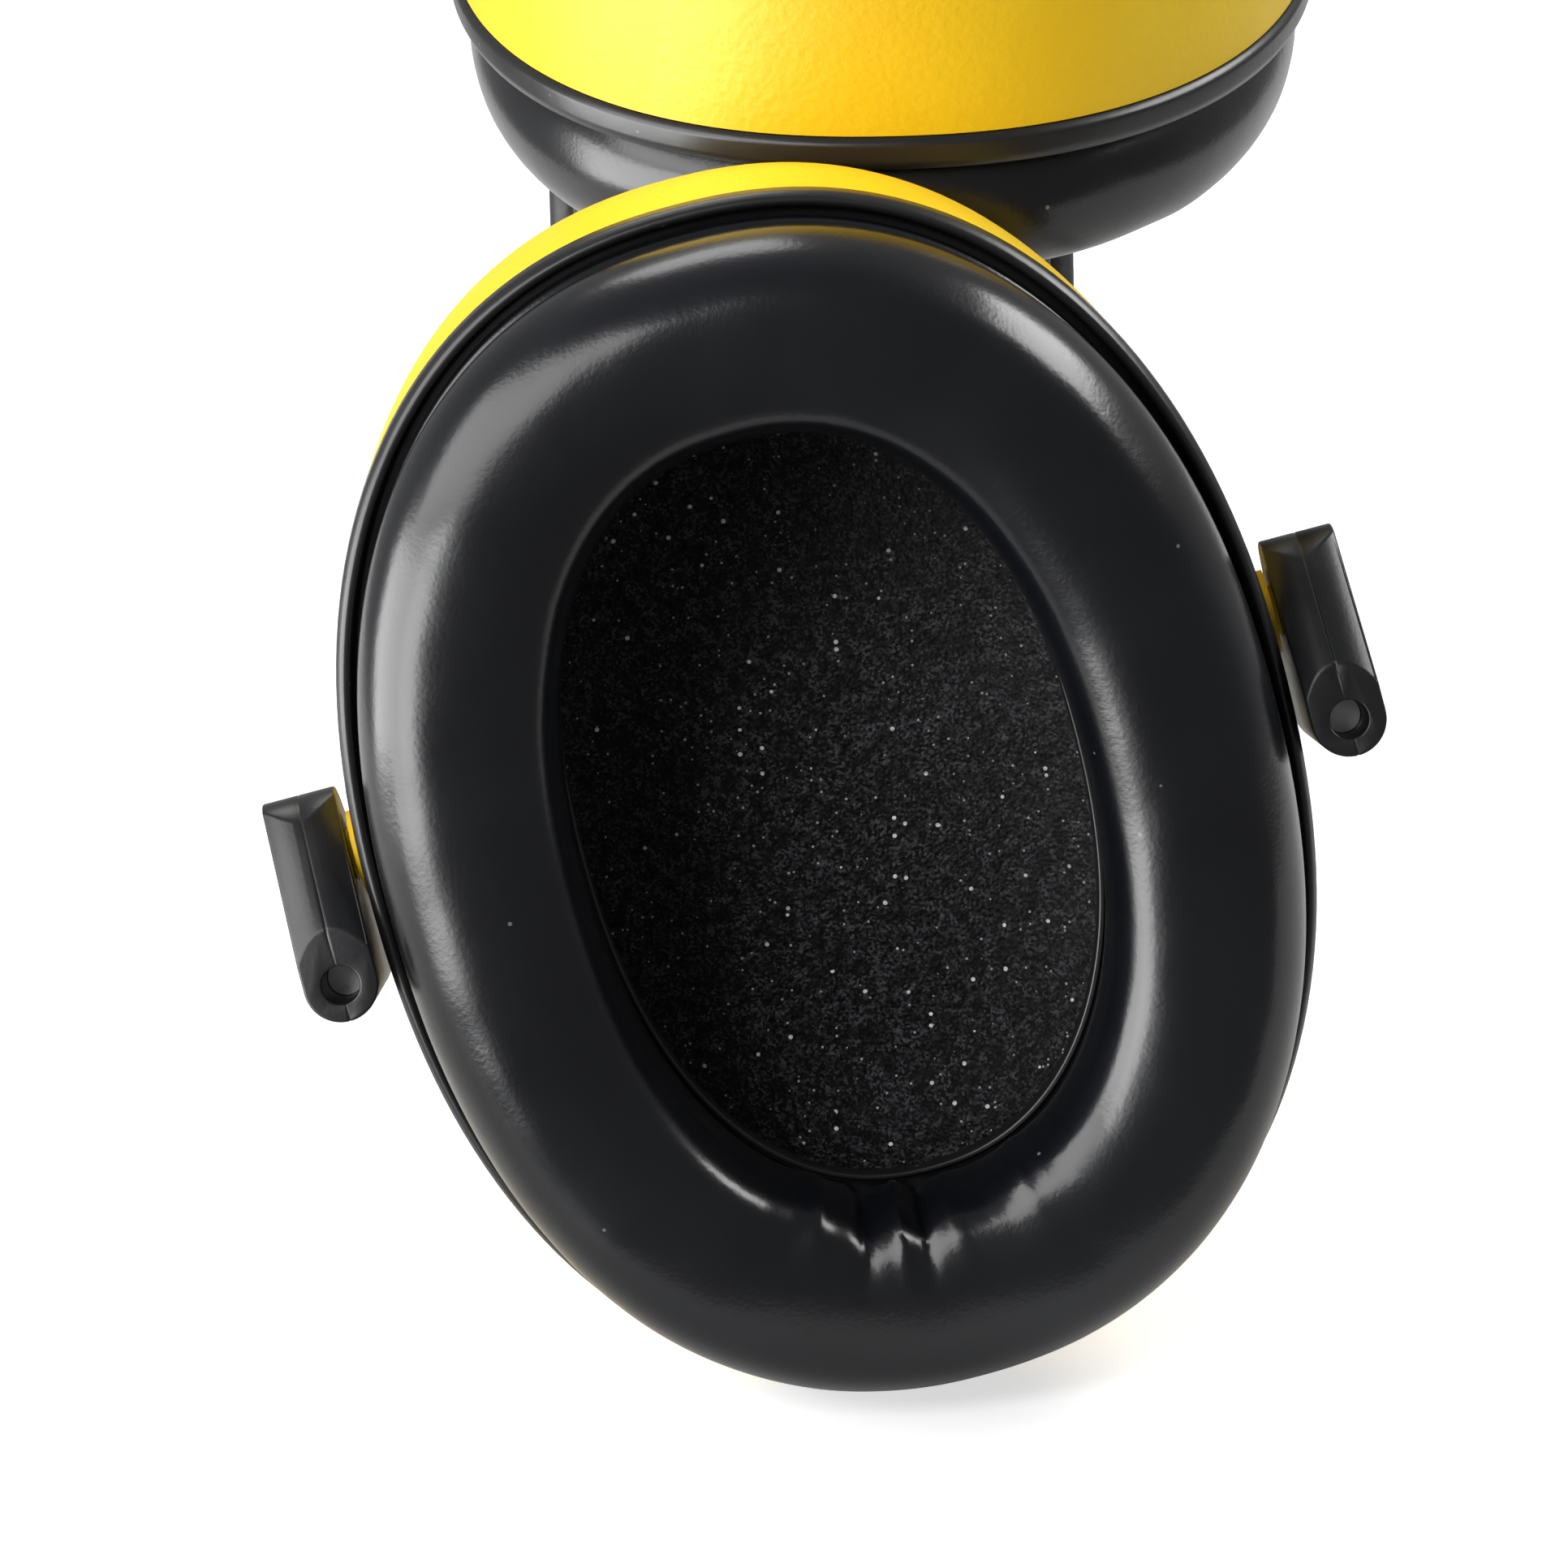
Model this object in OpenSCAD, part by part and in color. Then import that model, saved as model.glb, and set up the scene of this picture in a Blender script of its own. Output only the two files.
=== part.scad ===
// Hearing protection earmuffs: two oval cups on a two-wire headband, lying as they were put down,
// with the near cup turned over so that its cushion faces the viewer. Millimetres.
// Headband frame: x along the pivot axes, y from the near cup to the far cup, z along the wire legs
// from the crown to their free ends. Cup frame: x along the pivot axis, y up as worn, z to the ear.

/* [Cushion] */
// Half width of the cushion at its widest
cushion_a = 42; // [38:0.5:46]
// Half length of the cushion at its widest
cushion_b = 56; // [50:0.5:60]
// Height of the cushion above its seat
cushion_h = 15; // [12:0.5:16]
// Width of the padded ring, from its outside to the ear opening
cushion_ring = 17; // [14:0.5:18]
// Thickness of the cushion's soft skin
skin_t = 0.9; // [0.6:0.1:1.4]
// How squarely the ovals are drawn: 2 is an ellipse
oval_power = 2.24; // [2:0.02:2.6]

/* [Cup] */
// Depth of the shell behind its rim
shell_depth = 36; // [30:1:44]
// Wall of the shell
shell_wall = 2.6; // [2:0.1:3.4]
// Overhang of the rim ring beyond the cushion
rim_overhang = 1.9; // [1.5:0.1:2.6]
// Height of the rim ring's outer band
rim_h = 3.5; // [2.5:0.1:5]
// Thickness of the plate that the cushion is welded to
plate_t = 1.6; // [1.2:0.1:2.4]
// Thickness of the foam liner
liner_t = 8; // [5:0.5:12]

/* [Pivots] */
// Height of the shell's rim above the pivot axis
rim_z = 5; // [4.2:0.1:6]
// Height of the pivot axis above the cup's middle, as worn
pivot_rise = 4.5; // [2:0.5:5]
// Radius of the pivot stud's pin
pin_r = 2.4; // [1.8:0.1:3]
// Running clearance of the pin in its slider block
pin_clearance = 0.08; // [0.02:0.01:0.1]

/* [Slider blocks] */
// Width of a slider block along the pivot axis
block_w = 7; // [6:0.1:8]
// Distance from the pivot axis out to the wire
wire_offset = 11; // [10:0.5:13]
// Reach of a slider block beyond the pivot towards the wire's free end
block_near = 10; // [8:0.5:13]
// Reach of a slider block beyond the pivot towards the crown
block_far = 16; // [12:0.5:17]
// Radius of the arm's rounded end about the pivot
arm_r = 6.6; // [6:0.1:8]
// Length of the open end face about the wire bore
face_len = 8.9; // [8:0.1:10]

/* [Headband] */
// Diameter of the spring wire
wire_d = 3.4; // [2.6:0.1:4]
// Running clearance of the wire in its bore
wire_clearance = 0.08; // [0.02:0.01:0.1]
// Distance from the near cup's pivot axis back to the crown of the wires
crown_depth = 193; // [190:1:205]
// Distance between the two wires under the strap
crown_gap = 52; // [50:1:56]
// Sideways place of the headband strap
crown_shift = 2; // [0:0.5:4]
// Width of the headband strap
strap_w = 62; // [62:1:72]
// Thickness of the headband strap
strap_t = 6; // [5:0.5:8]
// Thickness of the soft pad at its crown
pad_t = 9; // [6:0.5:12]
// Half angle of the strap about the headband's middle
strap_angle = 56; // [45:1:62]
// Radius of the bends where the wires draw together
bend_r = 12; // [9:0.5:12]
// Angle at which the wires draw together
bend_angle = 55; // [54:1:65]
// Depth of a wire's tip inside the near slider block's mouth
tip_recess = 9; // [6:0.5:10]
// Length of the wire left over past the far slider block
tip_spare = 35; // [30:1:40]

/* [Pose] */
// Distance between the two pivot axes across the headband, less the cushion's half length
cup_apart = 29.5; // [28:0.5:39]
// Distance by which the far cup is pushed up towards the crown
far_lift = 66.5; // [65.5:0.5:70]
// Sideways shift of the far cup
far_shift = 9; // [4:0.5:10]
// Twist of the near cup about the wire legs
near_twist = 13.4; // [0:0.1:14]
// Lean of the far cup's cushion towards the crown
far_lean = 24; // [16:0.5:25]
// Lean of the near cup's cushion away from the far cup
near_lean = 13; // [10:0.5:18]
// Slope of the wire legs above the table
leg_slope = 19; // [10:0.1:25]
// Near pivot's centre to the side of the laid part's middle
pivot_x = -4.5; // [-10:0.1:10]
// Near pivot's centre behind the laid part's middle
pivot_y = -87; // [-100:0.1:-60]
// Near pivot's centre above the table
pivot_z = 61.5; // [50:0.1:70]

/* [Hidden] */
$fn = 48;
seat_gap = 0.1;
stud_fit = 0.03;
side_gap = 0.4;
liner_gap = 0.3;
foam_gap = 0.25;
plate_lip = 1.6;
liner_rings = 6;
oval_steps = 44;
rim_a = cushion_a + rim_overhang;
rim_b = cushion_b + rim_overhang;
shell_inset = 0.6;
shell_a = rim_a - shell_inset;
shell_b = rim_b - shell_inset;
block_gap = 0.9;
arm_share = 0.75;
arm_flat = 0.66;
crown_r = 5.4;
face_top = face_len - block_w / 2 - wire_offset;
block_x = rim_a + block_gap;
wire_x = block_x + block_w / 2;
wire_r = wire_d / 2;
bore_r = wire_r + wire_clearance;
pin_bore_r = pin_r + pin_clearance;
land_t = 1.0;
plate_z = rim_z + land_t;
seat_z = plate_z + plate_t + seat_gap;
hub_wall = 1.0;
hub_r = rim_z - hub_wall;
hub_x = shell_a - shell_wall + seat_gap;
pin_recess = 0.4;
cup_gap = cushion_b + cup_apart;
arc_y0 = -wire_offset;
arc_y1 = cup_gap + wire_offset;
arc_r = (arc_y1 - arc_y0) / 2;
arc_y = (arc_y0 + arc_y1) / 2;
arc_z = -crown_depth + arc_r;
channel_r = wire_r + 0.1;
bend_lap = 0.2;
bend_draw = 0.02;
link = 1.5;
yellow = [0.96, 0.80, 0.05];
black = [0.09, 0.09, 0.10];
charcoal = [0.14, 0.14, 0.15];
foam_grey = [0.05, 0.05, 0.06];
steel = [0.75, 0.76, 0.78];

// Points of an oval of half axes a and b at height z
function oval(a, b, z) = [
    for (i = [0 : oval_steps - 1])
        let (t = 360 * i / oval_steps, c = cos(t), s = sin(t), e = 2 / oval_power)
            [a * sign(c) * pow(abs(c), e), b * sign(s) * pow(abs(s), e), z]
];

// Triangles between ring j and ring k of a stack
function band(j, k) = [
    for (i = [0 : oval_steps - 1])
        let (n = (i + 1) % oval_steps)
            each [
                [j * oval_steps + i, k * oval_steps + n, j * oval_steps + n],
                [j * oval_steps + i, k * oval_steps + i, k * oval_steps + n]
            ]
];

// Solid between a stack of ovals [a, b, z], with flat ends
module oval_loft(rings) {
    last = len(rings) - 1;
    base = last * oval_steps;
    points = [for (r = rings) each oval(r[0], r[1], r[2])];
    ends = concat(
        [for (i = [1 : oval_steps - 2]) [0, i, i + 1]],
        [for (i = [1 : oval_steps - 2]) [base, base + i + 1, base + i]]
    );
    sides = [for (j = [0 : last - 1]) each band(j, j + 1)];
    polyhedron(points, concat(ends, sides));
}

// Ring whose cross-section is a closed list of [inset, z] from an oval of half axes a and b
module oval_ring(section, a, b) {
    count = len(section);
    points = [for (p = section) each oval(a - p[0], b - p[0], p[1])];
    polyhedron(points, [for (j = [0 : count - 1]) each band(j, (j + 1) % count)]);
}

// Cross-section of the cushion as [inset, z]: welded flange, drawn-in foot, bulging side, crown and
// the wall of the ear opening
function cushion_section(grow) =
    let (w = cushion_ring, h = cushion_h, mid = [w * 0.52, h * 0.5])
        [
            for (p = [
                [w * 1.06, 0], [w * 1.06, h * 0.08], [w * 1.03, h * 0.28], [w * 1.0, h * 0.5],
                [w * 0.95, h * 0.72], [w * 0.83, h * 0.91], [w * 0.66, h * 0.99], [w * 0.48, h],
                [w * 0.31, h * 0.965], [w * 0.16, h * 0.87], [w * 0.05, h * 0.69], [0, h * 0.46],
                [w * 0.02, h * 0.26], [w * 0.085, h * 0.11], [w * 0.03, h * 0.075], [w * 0.03, 0]
            ])
                let (d = mid - p)
                    p + d * grow / norm(d) + [0, seat_z]
        ];

// Every other point of the cushion's cross-section, drawn in by grow and cut off flat on the plate
function hollow_section(grow) =
    let (section = cushion_section(grow), last = len(section) - 1)
        [
            for (i = [0 : last])
                if (i == 0 || i % 2 == 1)
                    [section[i][0], i == 0 || i == last ? seat_z : section[i][1]]
        ];

// Outside of the shell as [inset, depth share] from the rim to the crown
function shell_profile(wall) = [
    for (p = [
        [0, 0], [0, 0.14], [0.4, 0.34], [1.3, 0.55], [3.4, 0.73], [7.5, 0.87], [13.5, 0.955],
        [22, 0.992], [30, 1]
    ])
        [shell_a - p[0] - wall, shell_b - p[0] - wall, rim_z - p[1] * (shell_depth - wall)]
];

module reverse_loft(profile_out, profile_in) {
    last = len(profile_out) - 1;
    oval_loft(concat([for (i = [last : -1 : 0]) profile_out[i]], profile_in));
}

module cup_shell() {
    color(yellow) difference() {
        translate([0, -pivot_rise, 0]) reverse_loft(shell_profile(0), shell_profile(shell_wall));
        for (side = [-1, 1])
            rotate([0, side * 90, 0]) translate([0, 0, hub_x - 1])
                cylinder(r = hub_r + stud_fit, h = shell_a);
    }
}

// Rim ring: a band round the shell's edge, with a raised lip and a sunken land for the plate
module cup_rim() {
    lip = 1.4;
    land = rim_overhang + 4.2;
    section = [
        [0.5, rim_z + seat_gap], [0, rim_z + 0.8], [0, rim_z + rim_h - 0.7], [0.5, rim_z + rim_h - 0.1],
        [lip * 0.6, rim_z + rim_h], [lip, rim_z + rim_h - 0.5], [lip + 0.2, plate_z], [land, plate_z],
        [land, rim_z + seat_gap]
    ];
    color(black) translate([0, -pivot_rise, 0]) oval_ring(section, rim_a, rim_b);
}

module cushion_plate() {
    inner = cushion_ring + plate_lip;
    section = [
        [0.6, plate_z + seat_gap], [0.6, plate_z + plate_t], [inner, plate_z + plate_t],
        [inner, plate_z + seat_gap]
    ];
    color(black) translate([0, -pivot_rise, 0]) oval_ring(section, cushion_a, cushion_b);
}

// The skin is open underneath, where the plate closes it
module cushion_skin() {
    outside = cushion_section(0);
    inside = hollow_section(skin_t);
    lining = [for (i = [len(inside) - 1 : -1 : 0]) inside[i]];
    color(charcoal) translate([0, -pivot_rise, 0]) oval_ring(concat(outside, lining), cushion_a, cushion_b);
}

module cushion_foam() {
    color(foam_grey) translate([0, -pivot_rise, 0])
        oval_ring(hollow_section(skin_t + foam_gap), cushion_a, cushion_b);
}

// Foam liner: a dished pad that follows the inside of the shell, with an open middle for the ear
module foam_liner() {
    outside = shell_profile(shell_wall + liner_gap);
    inside = shell_profile(shell_wall + liner_gap + liner_t);
    last = len(outside) - 1;
    color(foam_grey) translate([0, -pivot_rise, 0])
        oval_loft(concat([for (i = [last : -1 : 1]) outside[i]], [for (i = [1 : liner_rings]) inside[i]]));
}

// Pivot stud: hub on the shell's side and the pin that turns in the slider block
module stud(side) {
    color(yellow) rotate([0, side * 90, 0]) {
        translate([0, 0, hub_x]) cylinder(r = hub_r, h = block_x - side_gap - hub_x);
        translate([0, 0, block_x - side_gap]) cylinder(r = pin_r, h = block_w + side_gap - pin_recess);
    }
}

// Space that crowns the front of an arm: a cylinder down its slope, and all that lies behind it
module arm_crown() {
    rise = arm_r * arm_share - block_near;
    run = arm_r * arm_flat - face_top;
    arm_len = wire_offset + arm_r + block_w + block_far;
    translate([0, face_top, block_near]) rotate([90 + atan2(rise, run), 0, 0]) {
        translate([0, -crown_r, -arm_len]) cylinder(r = crown_r, h = 2 * arm_len);
        translate([-block_w, -crown_r - 2 * arm_len, -arm_len])
            cube([2 * block_w, 2 * arm_len, 2 * arm_len]);
    }
}

// Slider block in the headband frame, pivot at the origin, wire on its side towards -y
module block(side) {
    difference() {
        intersection() {
            translate([side * wire_x, 0, 0]) rotate([0, -90, 0])
                linear_extrude(height = block_w, center = true) union() {
                    circle(r = arm_r);
                    polygon([
                        [block_near, -wire_offset - block_w], [block_near, face_top],
                        [arm_r * arm_share, arm_r * arm_flat], [-arm_r * arm_share, arm_r * arm_flat],
                        [-block_far, face_top], [-block_far, -wire_offset - block_w]
                    ]);
                }
            translate([side * wire_x, 0, -block_far - 1]) linear_extrude(height = block_far + block_near + 2)
                union() {
                    translate([0, -wire_offset]) circle(d = block_w);
                    translate([-block_w / 2, -wire_offset]) square([block_w, wire_offset + arm_r + 1]);
                }
            translate([side * wire_x, 0, 0]) arm_crown();
        }
        translate([side * wire_x, -wire_offset, -block_far - 1])
            cylinder(r = bore_r, h = block_far + block_near + 2);
        rotate([0, side * 90, 0]) translate([0, 0, block_x - 1]) cylinder(r = pin_bore_r, h = block_w + 2);
    }
}

// One arc of wire in the plane of local x and z, from angle a0 through sweep. Its ends run a little
// way into the straight pieces, which are thicker by the bending draw.
module wire_arc(radius, a0, sweep) {
    lap = asin(bend_lap / radius);
    rotate([90, 0, 0]) rotate([0, 0, a0 - lap]) rotate_extrude(angle = sweep + 2 * lap)
        translate([radius, 0]) circle(r = wire_r - bend_draw);
}

// Axial length of a double bend that shifts the wire by d
function shift_len(d) =
    2 * bend_r * sin(bend_angle) + (d - 2 * bend_r * (1 - cos(bend_angle))) / tan(bend_angle);

// Wire from the origin along z that shifts by (dx, dy) and then runs straight up to z_end
module leg(dx, dy, z_end) {
    d = norm([dx, dy]);
    len_z = shift_len(d);
    run = (d - 2 * bend_r * (1 - cos(bend_angle))) / sin(bend_angle);
    rotate([0, 0, atan2(dy, dx)]) {
        cylinder(r = wire_r, h = link);
        translate([bend_r, 0, link]) wire_arc(bend_r, 180 - bend_angle, bend_angle);
        translate([bend_r * (1 - cos(bend_angle)), 0, link + bend_r * sin(bend_angle)])
            rotate([0, bend_angle, 0]) cylinder(r = wire_r, h = run);
        translate([d - bend_r, 0, link + len_z]) wire_arc(bend_r, -bend_angle, bend_angle);
        translate([d, 0, link + len_z]) cylinder(r = wire_r, h = z_end - link - len_z);
    }
}

// Place of a leg's axis in x and y, for the near and the far cup
function near_leg(side) =
    [
        side * wire_x * cos(near_twist) + wire_offset * sin(near_twist),
        side * wire_x * sin(near_twist) - wire_offset * cos(near_twist)
    ];
function far_leg(side) = [far_shift + side * wire_x, cup_gap + wire_offset];

// Spring wire: both legs, their bends and the arc over the crown
module wire(side) {
    x = crown_shift + side * crown_gap / 2;
    near = near_leg(side);
    far = far_leg(side);
    near_tip = block_near - tip_recess - arc_z;
    far_tip = -far_lift + block_near + tip_spare - tip_recess - arc_z;
    color(steel) {
        translate([x, arc_y, arc_z]) rotate([0, 0, 90]) wire_arc(arc_r, 180, 180);
        translate([x, arc_y0, arc_z]) leg(near[0] - x, near[1] - arc_y0, near_tip);
        translate([x, arc_y1, arc_z]) leg(far[0] - x, far[1] - arc_y1, far_tip);
    }
}

// Outline of a bar of rounded corners in the plane of radius and width, for the strap and its pad
module bar_outline(r0, r1, width, corner) {
    union() {
        translate([r0 + corner, -width / 2]) square([r1 - r0 - 2 * corner, width]);
        translate([r0, -width / 2 + corner]) square([r1 - r0, width - 2 * corner]);
        for (r = [r0 + corner, r1 - corner], s = [-1, 1])
            translate([r, s * (width / 2 - corner)]) circle(r = corner);
    }
}

module about_crown(angle) {
    translate([crown_shift, arc_y, arc_z]) rotate([0, 90, 0]) rotate([0, 0, -angle])
        rotate_extrude(angle = 2 * angle) children();
}

module headband_strap() {
    r0 = arc_r - strap_t / 2;
    color(black) difference() {
        about_crown(strap_angle) bar_outline(r0, r0 + strap_t, strap_w, strap_t * 0.4);
        for (s = [-1, 1])
            about_crown(strap_angle + 2) translate([arc_r, s * crown_gap / 2]) circle(r = channel_r);
    }
}

module headband_pad() {
    r1 = arc_r - strap_t / 2 - seat_gap;
    color(charcoal) about_crown(strap_angle - 4) bar_outline(r1 - pad_t, r1, strap_w - 6, pad_t * 0.45);
}

// Places of the two cups and of their blocks in the headband frame
module near_place() { rotate([0, 0, near_twist]) children(); }
module near_cup_place() { near_place() rotate([near_lean, 0, 0]) children(); }
module far_blocks_place() { translate([far_shift, cup_gap, -far_lift]) mirror([0, 1, 0]) children(); }
module far_cup_place() {
    translate([far_shift, cup_gap, -far_lift]) rotate([90 + far_lean, 0, 0]) rotate([0, 0, 180]) children();
}

// Lays the headband frame down on the table
module laid() { translate([pivot_x, pivot_y, pivot_z]) rotate([90 - leg_slope, 0, 0]) children(); }

module near_part() { laid() near_cup_place() children(); }
module far_part() { laid() far_cup_place() children(); }
module near_block(side) { color(black) laid() near_place() block(side); }
module far_block(side) { color(black) laid() far_blocks_place() block(side); }

laid() wire(-1);  // wire_front
laid() wire(1);  // wire_rear
laid() headband_strap();
laid() headband_pad();
near_part() cup_shell();  // near_shell
near_part() cup_rim();  // near_rim
near_part() cushion_plate();  // near_plate
near_part() cushion_foam();  // near_foam
near_part() cushion_skin();  // near_skin
near_part() foam_liner();  // near_liner
near_part() stud(-1);  // near_stud_front
near_part() stud(1);  // near_stud_rear
near_block(-1);  // near_block_front
near_block(1);  // near_block_rear
far_part() cup_shell();  // far_shell
far_part() cup_rim();  // far_rim
far_part() cushion_plate();  // far_plate
far_part() cushion_foam();  // far_foam
far_part() cushion_skin();  // far_skin
far_part() foam_liner();  // far_liner
far_part() stud(1);  // far_stud_front
far_part() stud(-1);  // far_stud_rear
far_block(-1);  // far_block_front
far_block(1);  // far_block_rear
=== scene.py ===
"""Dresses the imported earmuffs: moulded cups, soft cushions, foam, sliders and band, on a pale floor."""

import logging
import math
from dataclasses import dataclass
from enum import Enum
from typing import Any, Callable, Sequence

import bmesh
import bpy
from mathutils import Matrix, Vector, noise


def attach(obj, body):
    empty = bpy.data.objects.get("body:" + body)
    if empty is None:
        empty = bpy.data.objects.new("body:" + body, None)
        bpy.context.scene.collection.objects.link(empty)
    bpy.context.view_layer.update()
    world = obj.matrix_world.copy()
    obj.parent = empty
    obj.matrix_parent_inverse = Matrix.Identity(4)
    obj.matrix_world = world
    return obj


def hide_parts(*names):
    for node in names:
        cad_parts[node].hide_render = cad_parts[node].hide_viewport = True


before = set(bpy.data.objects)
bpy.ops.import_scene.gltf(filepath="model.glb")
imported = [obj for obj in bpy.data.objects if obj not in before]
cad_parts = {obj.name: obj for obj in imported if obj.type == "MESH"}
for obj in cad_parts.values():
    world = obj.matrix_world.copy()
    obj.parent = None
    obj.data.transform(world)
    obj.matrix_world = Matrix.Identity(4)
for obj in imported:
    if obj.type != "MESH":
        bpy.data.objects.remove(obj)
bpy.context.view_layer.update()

log = logging.getLogger("earmuffs")
MM = 0.001
Profile = list[tuple[float, float]]
Warp = Callable[[float, float, Vector], Vector]


class Cup(Enum):
    """The two cups, by the prefix of their nodes."""

    NEAR = "near"
    FAR = "far"


class Shade:
    """A value inside a material's node tree that takes part in ordinary arithmetic."""

    def __init__(self, tree: "Tree", socket: bpy.types.NodeSocket) -> None:
        """Keeps the tree and the output socket."""
        self.tree = tree
        self.socket = socket

    def _math(self, operation: str, first: Any, second: Any) -> "Shade":
        """Adds one Math node.

        Args:
            operation: Blender's name of the operation.
            first: a Shade or a number.
            second: a Shade or a number.

        Returns:
            The node's value.
        """
        return self.tree.node("ShaderNodeMath", {"operation": operation}, {0: first, 1: second})

    def __add__(self, other: Any) -> "Shade":
        """This plus other."""
        return self._math("ADD", self, other)

    def __radd__(self, other: Any) -> "Shade":
        """Other plus this."""
        return self._math("ADD", other, self)

    def __sub__(self, other: Any) -> "Shade":
        """This less other."""
        return self._math("SUBTRACT", self, other)

    def __rsub__(self, other: Any) -> "Shade":
        """Other less this."""
        return self._math("SUBTRACT", other, self)

    def __mul__(self, other: Any) -> "Shade":
        """This times other."""
        return self._math("MULTIPLY", self, other)

    def __rmul__(self, other: Any) -> "Shade":
        """Other times this."""
        return self._math("MULTIPLY", other, self)

    def __lt__(self, other: Any) -> "Shade":
        """One where this is below other."""
        return self._math("LESS_THAN", self, other)

    def step(self, low: float, high: float) -> "Shade":
        """Rises smoothly from 0 at low to 1 at high.

        Args:
            low: where the rise starts.
            high: where it ends.

        Returns:
            The smoothed value.
        """
        sockets = {"Value": self, "From Min": low, "From Max": high}
        return self.tree.node("ShaderNodeMapRange", {"interpolation_type": "SMOOTHSTEP"}, sockets)


class Tree:
    """A material's nodes, with one method that makes any of them."""

    def __init__(self, name: str, world: bool = False) -> None:
        """Makes a material with a lone Principled shader, or a world with a lone background.

        Args:
            name: its name.
            world: whether it is a world.
        """
        self.material = (bpy.data.worlds if world else bpy.data.materials).new(name)
        self.material.use_nodes = True
        self.nodes = self.material.node_tree.nodes
        self.links = self.material.node_tree.links
        self.nodes.clear()
        self.shader = self.nodes.new("ShaderNodeBackground" if world else "ShaderNodeBsdfPrincipled")
        output = self.nodes.new("ShaderNodeOutputWorld" if world else "ShaderNodeOutputMaterial")
        self.links.new(self.shader.outputs[0], output.inputs[0])

    def put(self, node: bpy.types.Node, key: Any, value: Any) -> None:
        """Links or sets one input of a node.

        Args:
            node: the node.
            key: the input's name or number.
            value: a Shade to link, or a constant.
        """
        if isinstance(value, Shade):
            self.links.new(value.socket, node.inputs[key])
        else:
            node.inputs[key].default_value = value

    def node(self, kind: str, settings: dict[str, Any], sockets: dict[Any, Any], out: Any = 0) -> Shade:
        """Adds a node of any kind.

        Args:
            kind: Blender's type of the node.
            settings: its own settings, set first.
            sockets: values or links of its inputs.
            out: name or number of the output that is wanted.

        Returns:
            The wanted output.
        """
        made = self.nodes.new(kind)
        for key, value in settings.items():
            setattr(made, key, value)
        for key, value in sockets.items():
            self.put(made, key, value)
        return Shade(self, made.outputs[out])

    def place(self) -> Shade:
        """The point's place in the row frame, in metres."""
        return self.node("ShaderNodeTexCoord", {}, {}, "Object")

    def clouds(self, scale: float, detail: float = 3.0, rough: float = 0.5) -> Shade:
        """Soft noise about one half.

        Args:
            scale: cells per metre.
            detail: octaves.
            rough: weight of the finer octaves.

        Returns:
            The noise.
        """
        sockets = {"Vector": self.place(), "Scale": scale, "Detail": detail, "Roughness": rough}
        return self.node("ShaderNodeTexNoise", {}, sockets)

    def cells(self, scale: float, feature: str = "F1", out: str = "Distance") -> Shade:
        """Voronoi cells.

        Args:
            scale: cells per metre.
            feature: which distance is measured.
            out: the output that is wanted.

        Returns:
            The cells' value.
        """
        sockets = {"Vector": self.place(), "Scale": scale}
        return self.node("ShaderNodeTexVoronoi", {"feature": feature}, sockets, out)

    def specks(self, scale: float, radius: float, share: float) -> Shade:
        """Small round specks, one in some of the cells.

        Args:
            scale: cells per metre.
            radius: radius of a speck as a share of a cell.
            share: share of the cells that hold one.

        Returns:
            One inside a speck and zero outside.
        """
        chosen = self.node("ShaderNodeSeparateColor", {}, {0: self.cells(scale, out="Color")}, 0)
        return (self.cells(scale) < radius) * (chosen < share)

    def blend(self, mask: Shade, first: Any, second: Any) -> Shade:
        """Mixes two colours.

        Args:
            mask: zero for the first, one for the second.
            first: colour as r, g, b, or a Shade of a colour.
            second: the same.

        Returns:
            The mixed colour.
        """
        def tint(c: Any) -> Any:
            """A constant as r, g, b, a; a Shade as it is."""
            return c if isinstance(c, Shade) else (*c, 1.0)

        sockets = {0: mask, 6: tint(first), 7: tint(second)}
        return self.node("ShaderNodeMix", {"data_type": "RGBA", "clamp_factor": True}, sockets, 2)

    def bump(self, height: Shade, distance: float, strength: float = 1.0) -> Shade:
        """Turns a height into a normal.

        Args:
            height: the height, from 0 to 1.
            distance: its full size in metres.
            strength: how strongly it shows.

        Returns:
            The normal.
        """
        sockets = {"Height": height, "Distance": distance, "Strength": strength}
        return self.node("ShaderNodeBump", {}, sockets, "Normal")


@dataclass(frozen=True)
class Finish:
    """A finish whose colour, roughness and relief are worked out by its own make method."""

    name: str

    def make(self, tree: Tree) -> dict[str, Any]:
        """The values of the shader's sockets; each finish gives its own."""
        raise NotImplementedError

    def material(self) -> bpy.types.Material:
        """Builds the material once and then gives it again."""
        known = bpy.data.materials.get(self.name)
        if known is not None:
            return known
        tree = Tree(self.name)
        for key, value in self.make(tree).items():
            tree.put(tree.shader, key, value)
        return tree.material


@dataclass(frozen=True)
class GrainedYellow(Finish):
    """Yellow moulded plastic with a fine leather-like grain."""

    name: str = "grained_yellow_plastic"
    colour: tuple[float, float, float] = (0.95, 0.61, 0.004)
    worn: tuple[float, float, float] = (0.96, 0.66, 0.014)

    def make(self, tree: Tree) -> dict[str, Any]:
        """Grain of merged cells, a slow change of tone, and a satin surface."""
        tone = tree.clouds(55.0)
        grain = tree.clouds(1500.0, 2.0, 0.55) * 0.6 + tree.cells(1150.0, "SMOOTH_F1") * 0.5
        return {
            "Base Color": tree.blend(tone.step(0.3, 0.75), self.colour, self.worn),
            "Roughness": 0.40 + tree.clouds(420.0) * 0.14,
            "Normal": tree.bump(grain, 0.00016, 0.55),
            "Specular IOR Level": 0.35,
        }


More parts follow.
